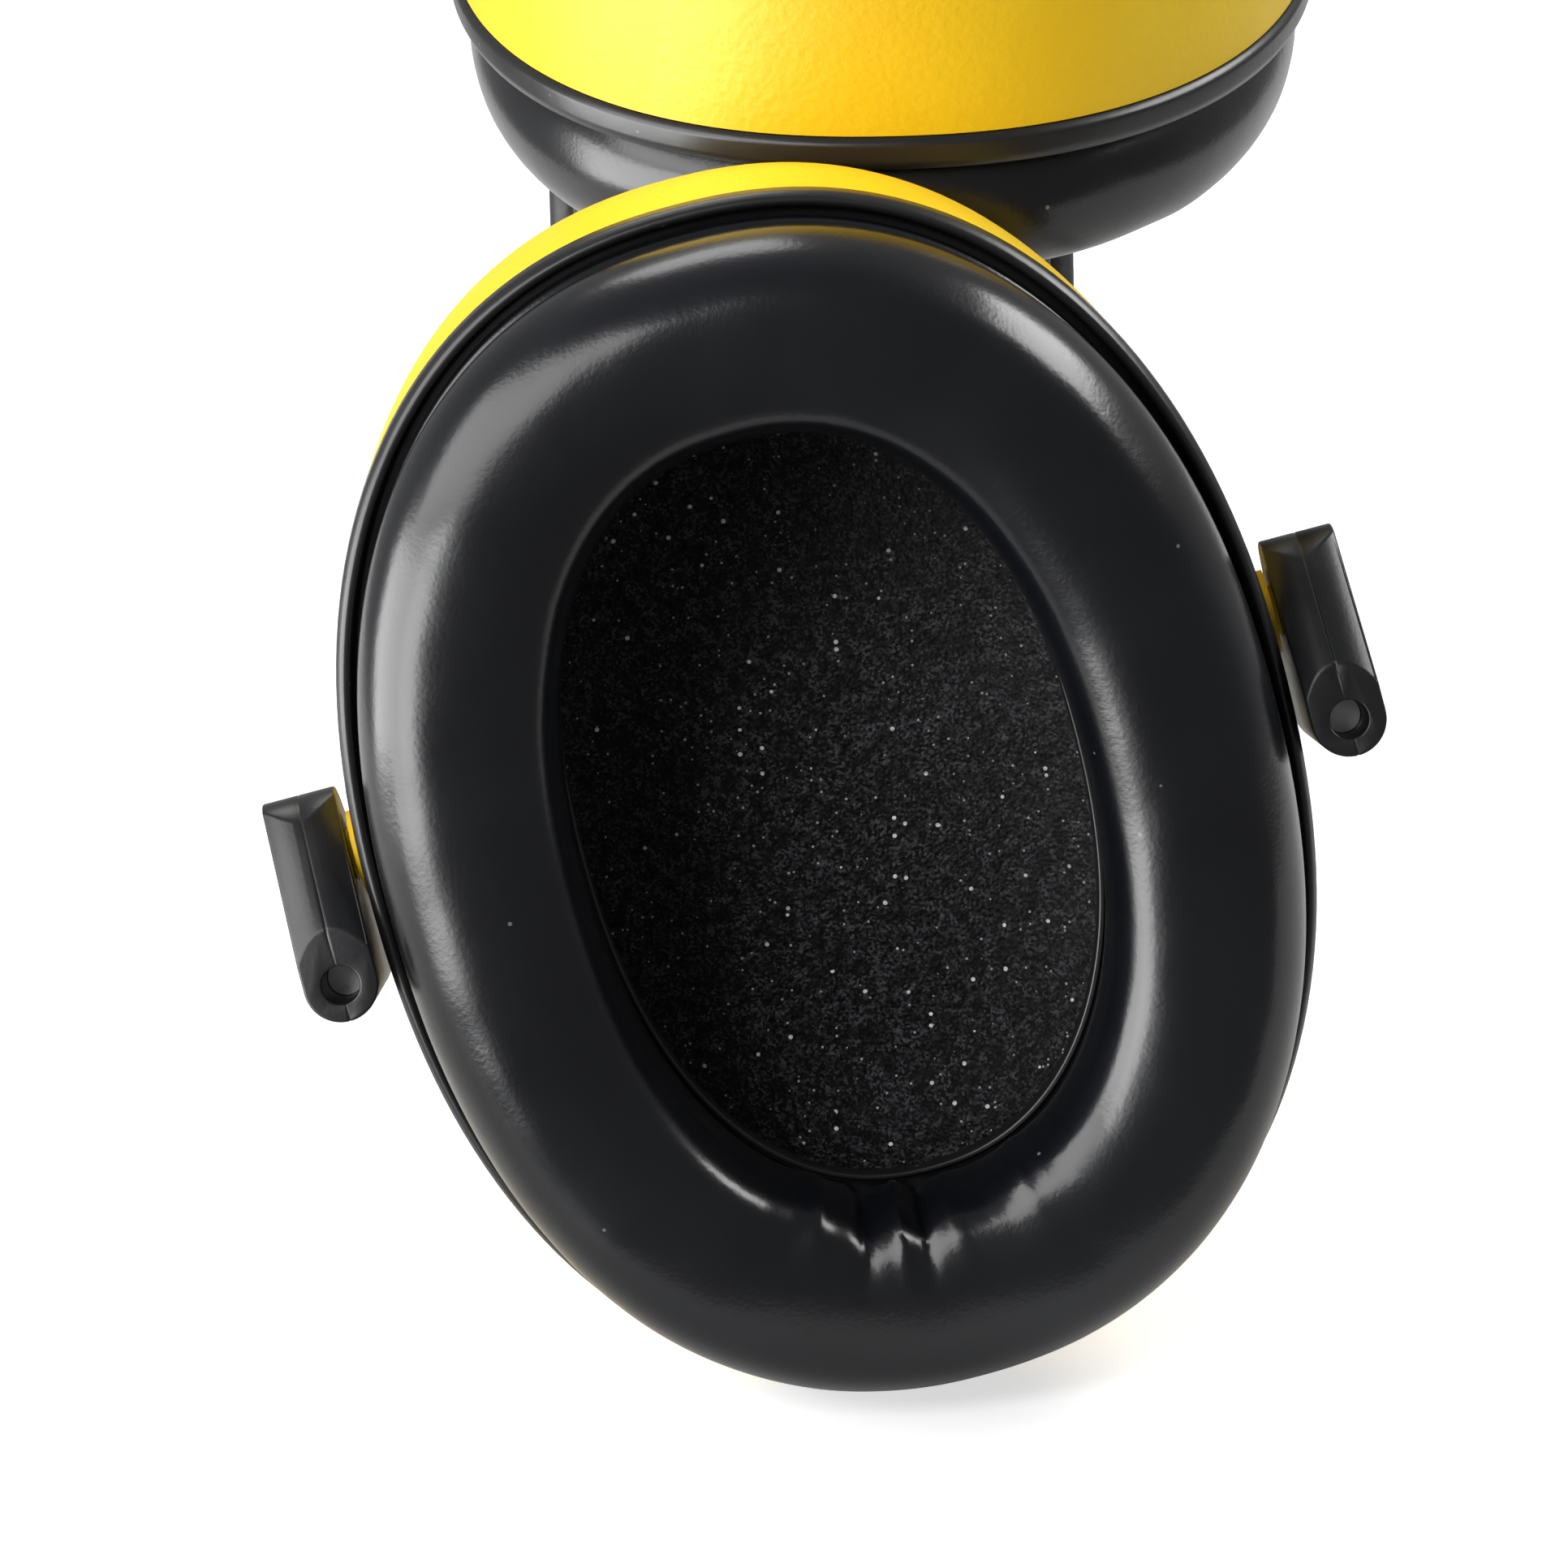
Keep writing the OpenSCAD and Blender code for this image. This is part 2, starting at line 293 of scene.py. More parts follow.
@dataclass(frozen=True)
class RingBlack(Finish):
    """Black moulded ring, smooth and fairly glossy, with faint handling marks."""

    name: str = "black_ring_plastic"
    colour: tuple[float, float, float] = (0.011, 0.011, 0.012)

    def make(self, tree: Tree) -> dict[str, Any]:
        """Handling marks in the gloss and specks of dust in the colour."""
        dust = tree.specks(700.0, 0.13, 0.03)
        return {
            "Base Color": tree.blend(dust, self.colour, (0.10, 0.10, 0.10)),
            "Roughness": 0.22 + tree.clouds(160.0, 4.0, 0.6) * 0.18,
            "Normal": tree.bump(tree.clouds(900.0, 2.0), 0.00004, 0.4),
            "Specular IOR Level": 0.5,
        }


@dataclass(frozen=True)
class SoftVinyl(Finish):
    """Charcoal vinyl of the cushions with a broad sheen, fine pores and specks of dust."""

    name: str = "charcoal_vinyl"
    colour: tuple[float, float, float] = (0.004, 0.0046, 0.0062)
    pale: tuple[float, float, float] = (0.007, 0.008, 0.0104)

    def make(self, tree: Tree) -> dict[str, Any]:
        """Slow change of tone, fine pores, faint waves and dust."""
        body = tree.blend(tree.clouds(48.0).step(0.35, 0.7), self.colour, self.pale)
        dust = tree.specks(520.0, 0.11, 0.02)
        relief = tree.clouds(2300.0, 2.0) * 0.35 + tree.clouds(240.0, 3.0)
        return {
            "Base Color": tree.blend(dust, body, (0.16, 0.16, 0.17)),
            "Roughness": 0.19 + tree.clouds(90.0, 3.0) * 0.09,
            "Normal": tree.bump(relief, 0.0001, 0.45),
            "Specular IOR Level": 0.5,
        }


@dataclass(frozen=True)
class OpenFoam(Finish):
    """Black open-cell foam whose colour holds painted light: paler painted lit cell walls and small bright
    painted glints.
    """

    name: str = "open_cell_foam"
    colour: tuple[float, float, float] = (0.0035, 0.0035, 0.004)
    # pale: the painted colour of cell walls that catch light.
    pale: tuple[float, float, float] = (0.085, 0.085, 0.095)

    def make(self, tree: Tree) -> dict[str, Any]:
        """Cells in every grey as painted light on the cell walls, bright painted glints of two sizes and a
        matte body.
        """
        shade = tree.node("ShaderNodeSeparateColor", {}, {0: tree.cells(4200.0, out="Color")}, 0)
        # Painted light: cells turned grey where the cell walls would catch light.
        painted_lit_walls = shade.step(0.35, 1.0) * tree.clouds(700.0, 2.0).step(0.25, 0.7)
        body = tree.blend(painted_lit_walls, self.colour, self.pale)
        # Painted highlights: grey and white specks stand in for glints on the cell walls; the white ones are
        # also made less rough.
        fine = tree.specks(2100.0, 0.27, 0.06)
        painted_glint = tree.specks(950.0, 0.21, 0.06)
        pores = tree.cells(2300.0) * 0.7 + tree.clouds(900.0, 3.0) * 0.5
        return {
            "Base Color": tree.blend(painted_glint, tree.blend(fine, body, (0.5, 0.5, 0.52)), (0.95, 0.95, 0.95)),
            "Roughness": 0.72 - painted_glint * 0.4,
            "Normal": tree.bump(pores, 0.0004, 0.9),
            "Specular IOR Level": 0.3,
        }


@dataclass(frozen=True)
class SliderPlastic(Finish):
    """Dark grey moulded plastic of the sliders, matte with a faint spark-eroded texture."""

    name: str = "matte_slider_moulding"
    colour: tuple[float, float, float] = (0.009, 0.0094, 0.0105)

    def make(self, tree: Tree) -> dict[str, Any]:
        """Faint texture and slightly polished patches."""
        return {
            "Base Color": tree.blend(tree.clouds(130.0).step(0.4, 0.7), self.colour, (0.015, 0.0155, 0.017)),
            "Roughness": 0.27 + tree.clouds(240.0) * 0.13,
            "Normal": tree.bump(tree.clouds(2600.0, 2.0), 0.00004, 0.35),
            "Specular IOR Level": 0.4,
        }


@dataclass(frozen=True)
class SpringSteel(Finish):
    """Drawn spring wire, bright with faint marks along it."""

    name: str = "drawn_spring_steel"
    colour: tuple[float, float, float] = (0.42, 0.43, 0.44)

    def make(self, tree: Tree) -> dict[str, Any]:
        """Bright metal with uneven polish."""
        return {
            "Base Color": tree.blend(tree.clouds(300.0), self.colour, (0.30, 0.30, 0.31)),
            "Metallic": 1.0,
            "Roughness": 0.22 + tree.clouds(700.0) * 0.16,
            "Normal": tree.bump(tree.clouds(1500.0, 2.0), 0.00003, 0.4),
        }


@dataclass(frozen=True)
class StrapPlastic(Finish):
    """Black flexible strap, matte with a fine grain."""

    name: str = "grained_strap_moulding"
    colour: tuple[float, float, float] = (0.009, 0.009, 0.0095)

    def make(self, tree: Tree) -> dict[str, Any]:
        """Fine grain and slight scuffs."""
        scuffs = tree.clouds(90.0, 4.0).step(0.55, 0.8)
        return {
            "Base Color": tree.blend(scuffs, self.colour, (0.022, 0.022, 0.023)),
            "Roughness": 0.44 + tree.clouds(200.0) * 0.14,
            "Normal": tree.bump(tree.cells(1500.0, "SMOOTH_F1"), 0.00012, 0.5),
        }


@dataclass(frozen=True)
class PadCloth(Finish):
    """Black knitted cover of the headband's pad."""

    name: str = "knitted_pad_cover"
    colour: tuple[float, float, float] = (0.010, 0.010, 0.011)

    def make(self, tree: Tree) -> dict[str, Any]:
        """Knit of small cells, with paler fibre tops."""
        knit = tree.cells(1300.0)
        return {
            "Base Color": tree.blend(knit, (0.024, 0.024, 0.026), self.colour),
            "Roughness": 0.80 + tree.clouds(300.0) * 0.12,
            "Normal": tree.bump(knit, 0.0003, 0.7),
            "Sheen Weight": 0.15,
        }


@dataclass
class Oval:
    """The squared oval that every ring of a cup follows, in millimetres."""

    a: float
    b: float
    power: float = 2.24

    def at(self, turn: float, inset: float) -> tuple[float, float]:
        """A point of the oval drawn in by an inset.

        Args:
            turn: angle parameter in radians.
            inset: distance by which both half axes shrink.

        Returns:
            x and y in millimetres.
        """
        c, s, e = math.cos(turn), math.sin(turn), 2.0 / self.power
        x = math.copysign(abs(c) ** e, c) * (self.a - inset)
        y = math.copysign(abs(s) ** e, s) * (self.b - inset)
        return x, y


def smooth_line(points: Sequence[tuple[float, float]], parts: int, closed: bool) -> Profile:
    """Draws a smooth curve through points.

    Args:
        points: the points to pass.
        parts: pieces between each two of them.
        closed: whether the last joins the first.

    Returns:
        The finer line.
    """
    count = len(points)
    line: Profile = []
    for i in range(count if closed else count - 1):
        around = [points[(i + k) % count if closed else min(max(i + k, 0), count - 1)] for k in (-1, 0, 1, 2)]
        for j in range(parts):
            t = j / parts
            weights = (
                -0.5 * t + t * t - 0.5 * t ** 3, 1 - 2.5 * t * t + 1.5 * t ** 3,
                0.5 * t + 2 * t * t - 1.5 * t ** 3, -0.5 * t * t + 0.5 * t ** 3,
            )
            line.append(tuple(sum(w * p[k] for w, p in zip(weights, around)) for k in (0, 1)))
    if not closed:
        line.append(tuple(points[-1]))
    return line


def rounded(points: Sequence[tuple[float, float]], radius: float, parts: int = 4) -> Profile:
    """Rounds the corners of a closed outline.

    Args:
        points: the outline's corners.
        radius: length taken from each side of a corner.
        parts: pieces of each rounding.

    Returns:
        The rounded outline.
    """
    line: Profile = []
    count = len(points)
    for i, p in enumerate(points):
        here = Vector(p)
        before, after = Vector(points[i - 1]) - here, Vector(points[(i + 1) % count]) - here
        first = here + before.normalized() * min(radius, before.length * 0.45)
        last = here + after.normalized() * min(radius, after.length * 0.45)
        for j in range(parts + 1):
            t = j / parts
            q = first * (1 - t) ** 2 + here * 2 * t * (1 - t) + last * t * t
            line.append((q.x, q.y))
    return line


def add_piece(name: str, mesh: bpy.types.Mesh, finish: Finish, sharp_deg: float = 40.0) -> bpy.types.Object:
    """Puts a mesh into the scene with its finish.

    Args:
        name: the piece's name.
        mesh: its mesh, in the row frame.
        finish: its finish.
        sharp_deg: edges sharper than this stay crisp.

    Returns:
        The new object.
    """
    piece = bpy.data.objects.new(name, mesh)
    bpy.context.scene.collection.objects.link(piece)
    mesh.materials.append(finish.material())
    mesh.shade_smooth()
    mesh.set_sharp_from_angle(angle=math.radians(sharp_deg))
    return piece


def loft(name: str, oval: Oval, profile: Profile, place: Matrix, steps: int, closed: bool,
         warp: Warp | None = None) -> bpy.types.Mesh:
    """Sweeps a cross-section round an oval.

    Args:
        name: name of the mesh.
        oval: the oval.
        profile: inset and height of each ring, in millimetres.
        place: the cup's place in the row frame.
        steps: points round the oval.
        closed: whether the last ring joins the first; otherwise both ends are filled.
        warp: moves a point, given its turn, its share of the profile and its place.

    Returns:
        The mesh in the row frame.
    """
    shape = bmesh.new()
    rings = []
    for j, (inset, height) in enumerate(profile):
        ring = []
        for i in range(steps):
            turn = 2 * math.pi * i / steps
            point = Vector((*oval.at(turn, inset), height))
            if warp is not None:
                point = warp(turn, j / len(profile), point)
            ring.append(shape.verts.new(place @ (point * MM)))
        rings.append(ring)
    pairs = list(zip(rings, rings[1:])) + ([(rings[-1], rings[0])] if closed else [])
    for low, high in pairs:
        for i in range(steps):
            n = (i + 1) % steps
            shape.faces.new((low[i], low[n], high[n], high[i]))
    if not closed:
        for ring in (rings[0], rings[-1]):
            middle = shape.verts.new(sum((v.co for v in ring), Vector()) / steps)
            for i in range(steps):
                shape.faces.new((ring[i], ring[(i + 1) % steps], middle))
    bmesh.ops.recalc_face_normals(shape, faces=shape.faces)
    mesh = bpy.data.meshes.new(name)
    shape.to_mesh(mesh)
    shape.free()
    return mesh


def turned(axis: str, degrees: float) -> Matrix:
    """A turn about one axis."""
    return Matrix.Rotation(math.radians(degrees), 4, axis)


def moved(x: float, y: float, z: float) -> Matrix:
    """A move given in millimetres."""
    return Matrix.Translation(Vector((x, y, z)) * MM)


@dataclass
class LaidPose:
    """How the headband and its cups lie, as in the part's source, in millimetres and degrees."""

    cup_gap: float = 85.5
    far_lift: float = 66.5
    far_shift: float = 9.0
    near_twist: float = 13.4
    near_lean: float = 13.0
    far_lean: float = 24.0
    leg_slope: float = 19.0
    pivot: tuple[float, float, float] = (-4.5, -87.0, 61.5)
    wire_offset: float = 11.0
    crown_depth: float = 193.0
    crown_shift: float = 2.0

    def band(self) -> Matrix:
        """Place of the headband's frame."""
        return moved(*self.pivot) @ turned("X", 90.0 - self.leg_slope)

    def blocks(self, which: Cup) -> Matrix:
        """Place of a pair of slider blocks, with the pivot at its origin."""
        if which is Cup.NEAR:
            return self.band() @ turned("Z", self.near_twist)
        return self.band() @ moved(self.far_shift, self.cup_gap, -self.far_lift)

    def cup(self, which: Cup) -> Matrix:
        """Place of a cup's frame.

        Args:
            which: the cup.

        Returns:
            Its matrix in the row frame.
        """
        if which is Cup.NEAR:
            return self.blocks(which) @ turned("X", self.near_lean)
        return self.blocks(which) @ turned("X", 90.0 + self.far_lean) @ turned("Z", 180.0)


@dataclass
class EarCup:
    """One cup: shell, rim ring, plate, cushion, foam liner and pivot studs. Sizes in millimetres."""

    which: Cup
    pose: LaidPose
    cushion_a: float = 42.0
    cushion_b: float = 56.0
    cushion_h: float = 15.0
    cushion_ring: float = 17.0
    shell_depth: float = 36.0
    shell_wall: float = 2.6
    rim_overhang: float = 1.9
    rim_h: float = 3.5
    plate_t: float = 1.6
    liner_t: float = 8.0
    liner_gap: float = 0.3
    rim_z: float = 5.0
    pivot_rise: float = 4.5
    plate_lip: float = 1.6
    land_t: float = 1.0
    seat_gap: float = 0.1
    shell_inset: float = 0.6
    steps: int = 176
    fold_share: float = 0.44
    fold_middle: float = 262.0
    fold_spread: float = 28.0
    folds: tuple[tuple[float, float, float], ...] = (
        (246.0, 7.0, 1.3), (256.0, 2.2, -1.2), (263.0, 2.0, 1.5),
        (267.0, 1.6, -1.3), (272.0, 3.0, 0.7), (287.0, 8.0, 0.9),
    )

    def __post_init__(self) -> None:
        """Works out the shared heights, ovals and the cup's place."""
        self.plate_z = self.rim_z + self.land_t
        self.seat_z = self.plate_z + self.plate_t + self.seat_gap
        self.cushion_oval = Oval(self.cushion_a, self.cushion_b)
        self.rim_oval = Oval(self.cushion_a + self.rim_overhang, self.cushion_b + self.rim_overhang)
        self.place = self.pose.cup(self.which) @ moved(0.0, -self.pivot_rise, 0.0)
        self.body = f"{self.which.value}_cup"

    def settle(self, piece: bpy.types.Object, *stands_for: str) -> bpy.types.Object:
        """Lets a piece ride on the cup and stand for its CAD nodes.

        Args:
            piece: the piece.
            stands_for: the nodes' names without the cup's prefix.

        Returns:
            The piece.
        """
        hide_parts(*(f"{self.which.value}_{n}" for n in stands_for))
        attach(piece, self.body)
        log.info("%s rides on %s", piece.name, self.body)
        return piece

    def named(self, part: str) -> str:
        """A piece's name with the cup's prefix."""
        return f"{self.which.value}_{part}_dressed"

    def shell_line(self, wall: float) -> Profile:
        """Profile of the shell at a depth of wall inside its outside, from rim to crown."""
        marks = [
            (0, 0), (0, 0.14), (0.4, 0.34), (1.3, 0.55), (3.4, 0.73),
            (7.5, 0.87), (13.5, 0.955), (22, 0.992), (30, 1),
        ]
        base, depth = self.shell_inset + wall, self.shell_depth - wall
        return smooth_line([(base + i, self.rim_z - d * depth) for i, d in marks], 4, False)

    def shell(self) -> bpy.types.Object:
        """The moulded yellow shell, closed over its wall."""
        outside = self.shell_line(0.0)
        edge = self.rim_z + 0.02
        lip = [(self.shell_inset + 0.25, edge), (self.shell_inset + self.shell_wall - 0.2, edge)]
        profile = outside[::-1] + lip + self.shell_line(self.shell_wall)
        mesh = loft(self.named("shell"), self.rim_oval, profile, self.place, self.steps, False)
        return self.settle(add_piece(self.named("shell"), mesh, GrainedYellow()), "shell")

    def rim(self) -> bpy.types.Object:
        """The black ring: outer band, bead, groove and the land that the plate lies on."""
        z, top = self.rim_z, self.rim_z + self.rim_h
        land = self.rim_overhang + 4.2
        corners = [
            (0.55, z + 0.1), (0.0, z + 0.7), (0.0, top - 0.9), (0.45, top - 0.1), (0.95, top),
            (1.35, top - 0.4), (1.55, self.plate_z + 0.35), (1.9, self.plate_z), (land, self.plate_z),
            (land, z + 0.1),
        ]
        mesh = loft(self.named("rim"), self.rim_oval, rounded(corners, 0.3), self.place, self.steps, True)
        return self.settle(add_piece(self.named("rim"), mesh, RingBlack()), "rim")

    def plate(self) -> bpy.types.Object:
        """The plate under the cushion, with two stepped lips round the ear opening."""
        z, top = self.plate_z + self.seat_gap, self.plate_z + self.plate_t
        inner = self.cushion_ring + self.plate_lip
        corners = [
            (0.6, z), (0.6, top), (inner - 1.4, top), (inner - 1.25, top - 0.5), (inner - 0.75, top - 0.5),
            (inner - 0.6, top), (inner - 0.2, top), (inner, top - 0.4), (inner, z),
        ]
        profile = rounded(corners, 0.15)
        mesh = loft(self.named("plate"), self.cushion_oval, profile, self.place, self.steps, True)
        return self.settle(add_piece(self.named("plate"), mesh, RingBlack()), "plate")

    def cushion_warp(self, turn: float, share: float, point: Vector) -> Vector:
        """Slack of the vinyl: slow waves, and folds in the lower wall of the ear opening.

        Args:
            turn: angle round the oval.
            share: share of the cross-section, from the inner foot over the crown to the flange.
            point: the point in the cup's frame, in millimetres.

        Returns:
            The moved point.
        """
        height = (point.z - self.seat_z) / self.cushion_h
        seed = Vector((0.0, 0.0, 3.7 if self.which is Cup.NEAR else 9.1))
        if height > 0.2:
            wave = noise.noise(point * 0.045 + seed) * 0.45 + noise.noise(point * 0.14 + seed) * 0.12
            point = point + Vector((0.0, 0.0, wave))
        inward = Vector((-math.cos(turn), -math.sin(turn), 0.0))
        if share < self.fold_share and height > 0.05:
            lift = math.sin(math.pi * min(share / self.fold_share, 1.0))
            degrees = math.degrees(turn)
            fold = sum(size * math.exp(-abs(degrees - at) / width) for at, width, size in self.folds)
            near_folds = math.exp(-((degrees - self.fold_middle) / self.fold_spread) ** 2)
            drift = 0.35 * noise.noise(Vector((turn * 14.0, height * 1.6, 5.2))) * near_folds
            point = point + (inward + Vector((0.0, 0.0, 0.35))) * ((fold + drift) * lift)
        return point

    def cushion(self) -> bpy.types.Object:
        """The padded cushion: ear opening's wall, crown, bulging side, drawn-in foot and welded flange."""
        w, h = self.cushion_ring, self.cushion_h
        crown = smooth_line([
            (w * 1.05, h * 0.05), (w * 1.06, h * 0.14), (w * 1.08, h * 0.30), (w * 1.08, h * 0.5),
            (w * 1.05, h * 0.72), (w * 0.95, h * 0.90), (w * 0.74, h * 0.99), (w * 0.52, h),
            (w * 0.31, h * 0.965), (w * 0.16, h * 0.87), (w * 0.05, h * 0.69), (0.0, h * 0.46),
            (w * 0.02, h * 0.26), (w * 0.075, h * 0.12),
        ], 4, False)
        flange = [
            (w * 0.035, h * 0.085), (w * 0.022, h * 0.07), (w * 0.022, 0.02),
            (w * 0.06, 0.0), (w * 1.02, 0.0), (w * 1.05, 0.02),
        ]
        profile = [(i, z + self.seat_z) for i, z in crown + flange]
        mesh = loft(self.named("cushion"), self.cushion_oval, profile, self.place, self.steps * 2, True,
                    self.cushion_warp)
        piece = add_piece(self.named("cushion"), mesh, SoftVinyl(), 60.0)
        return self.settle(piece, "skin", "foam")

    def liner(self) -> bpy.types.Object:
        """The foam liner, a bowl with an uneven cut surface."""
        gap = self.shell_wall + self.liner_gap

        def uneven(turn: float, share: float, point: Vector) -> Vector:
            """Lifts the foam's free surface here and there."""
            if share < 0.5:
                return point
            rise = noise.noise(point * 0.11) * 0.7 + noise.noise(point * 0.5) * 0.2
            return point + Vector((0.0, 0.0, rise))

        outside = self.shell_line(gap)[4:]
        inside = self.shell_line(gap + self.liner_t)[4:26]
        profile = outside[::-1] + inside
        mesh = loft(self.named("liner"), self.rim_oval, profile, self.place, self.steps, False, uneven)
        piece = add_piece(self.named("liner"), mesh, OpenFoam(), 60.0)
        return self.settle(piece, "liner")

    def studs(self) -> None:
        """Gives the pivot studs, which keep their solids, the shell's finish."""
        for end in ("front", "rear"):
            dress_node(f"{self.which.value}_stud_{end}", GrainedYellow())

    def build(self) -> None:
        """Makes every piece of the cup."""
        self.shell()
        self.rim()
        self.plate()
        self.cushion()
        self.liner()
        self.studs()


def dress_node(node: str, finish: Finish) -> None:
    """Gives a CAD node that stays in view a better finish.

    Args:
        node: the node's name.
        finish: its finish.
    """
    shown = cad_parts[node]
    shown.data.materials.clear()
    shown.data.materials.append(finish.material())
    log.info("%s keeps its solid with finish %s", node, finish.name)


@dataclass
class Sliders:
    """The pair of slider blocks of one cup, with softened edges and a parting line."""

    which: Cup
    pose: LaidPose
    edge: float = 0.9
    groove: float = 0.11
    wire_x: float = 48.3

    def block(self, end: str) -> bpy.types.Object:
        """One block, cut from its solid's form with rounded edges.

        Args:
            end: front or rear.

        Returns:
            The block.
        """
        node = f"{self.which.value}_block_{end}"
        shape = bmesh.new()
        shape.from_mesh(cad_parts[node].data)
        bmesh.ops.remove_doubles(shape, verts=shape.verts, dist=1e-6)
        bmesh.ops.dissolve_limit(shape, angle_limit=math.radians(0.6), verts=shape.verts, edges=shape.edges)
        crisp = [e for e in shape.edges if e.is_manifold and e.calc_face_angle(0.0) > math.radians(20.0)]
        bmesh.ops.bevel(shape, geom=crisp, offset=self.edge * MM, segments=4, profile=0.5, affect="EDGES",
                        clamp_overlap=True)
        self.part_line(shape, end)
        mesh = bpy.data.meshes.new(node + "_dressed")
        shape.to_mesh(mesh)
        shape.free()
        piece = add_piece(node + "_dressed", mesh, SliderPlastic(), 35.0)
        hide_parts(node)
        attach(piece, f"{self.which.value}_sliders")
        log.info("%s rides on %s_sliders", piece.name, self.which.value)
        return piece

    def part_line(self, shape: bmesh.types.BMesh, end: str) -> None:
        """Cuts the moulding's parting line, a shallow groove round the block's middle.

        Args:
            shape: the block, in the row frame.
            end: front or rear.
        """
        band = self.pose.blocks(self.which)
        side = -1.0 if end == "front" else 1.0
        across = (band @ Vector((1.0, 0.0, 0.0)) - band @ Vector()).normalized()
        middle = band @ Vector((side * self.wire_x * MM, 0.0, 0.0))
        for off in (-self.groove, 0.0, self.groove):
            geom = list(shape.verts) + list(shape.edges) + list(shape.faces)
            at = middle + across * off * MM
            bmesh.ops.bisect_plane(shape, geom=geom, plane_co=at, plane_no=across, dist=1e-7)
        shape.normal_update()
        line = [v for v in shape.verts if abs((v.co - middle).dot(across)) < 1e-6]
        for vert in line:
            vert.co -= vert.normal * self.groove * 0.6 * MM

    def build(self) -> None:
        """Makes both blocks."""
        for end in ("front", "rear"):
            self.block(end)


@dataclass
class Headband:
    """Strap, pad and spring wires over the crown. Sizes in millimetres."""

    pose: LaidPose
    strap_w: float = 62.0
    strap_t: float = 6.0
    pad_t: float = 9.0
    strap_angle: float = 56.0
    pad_margin: float = 3.0
    pad_short: float = 4.0
    seat_gap: float = 0.1
    steps: int = 72
    around: int = 36

    def pad(self) -> bpy.types.Object:
        """The soft pad under the strap, full in its middle and drawn in at its ends."""
        radius = (self.pose.cup_gap + 2 * self.pose.wire_offset) / 2
        centre = Vector((self.pose.crown_shift, self.pose.cup_gap / 2, radius - self.pose.crown_depth))
        outer = radius - self.strap_t / 2 - self.seat_gap
        half = math.radians(self.strap_angle - self.pad_short)
        place = self.pose.band()
        shape = bmesh.new()
        rings = []
        for j in range(self.steps + 1):
            u = 2.0 * j / self.steps - 1.0
            full = max(1.0 - abs(u) ** 7, 0.0) ** 0.5
            ring = []
            for i in range(self.around):
                t = 2 * math.pi * i / self.around
                c, s = math.cos(t), math.sin(t)
                reach = self.strap_w / 2 - self.pad_margin
                across = math.copysign(abs(c) ** 0.42, c) * reach * (0.9 + 0.1 * full)
                depth = (0.5 - 0.5 * math.copysign(abs(s) ** 0.6, s)) * self.pad_t * (0.25 + 0.75 * full)
                pucker = 0.35 * noise.noise(Vector((across * 0.12, u * 9.0, 2.2))) * (depth / self.pad_t)
                r = outer - depth - pucker
                a = u * half
                point = centre + Vector((across, math.sin(a) * r, -math.cos(a) * r))
                ring.append(shape.verts.new(place @ (point * MM)))
            rings.append(ring)
        for low, high in zip(rings, rings[1:]):
            for i in range(self.around):
                n = (i + 1) % self.around
                shape.faces.new((low[i], low[n], high[n], high[i]))
        shape.faces.new(rings[0])
        shape.faces.new(rings[-1])
        bmesh.ops.recalc_face_normals(shape, faces=shape.faces)
        mesh = bpy.data.meshes.new("headband_pad_dressed")
        shape.to_mesh(mesh)
        shape.free()
        piece = add_piece("headband_pad_dressed", mesh, PadCloth(), 50.0)
        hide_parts("headband_pad")
        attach(piece, "headband")
        log.info("headband_pad_dressed rides on headband")
        return piece

    def build(self) -> None:
        """Makes the pad and dresses the strap and the wires."""
        self.pad()
        dress_node("headband_strap", StrapPlastic())
        for end in ("front", "rear"):
            dress_node(f"wire_{end}", SpringSteel())


class Shows(Enum):
    """What a lamp panel does: it lights the part, is mirrored in it, or both."""

    LIGHT = "light"
    MIRROR = "mirror"
    BOTH = "both"


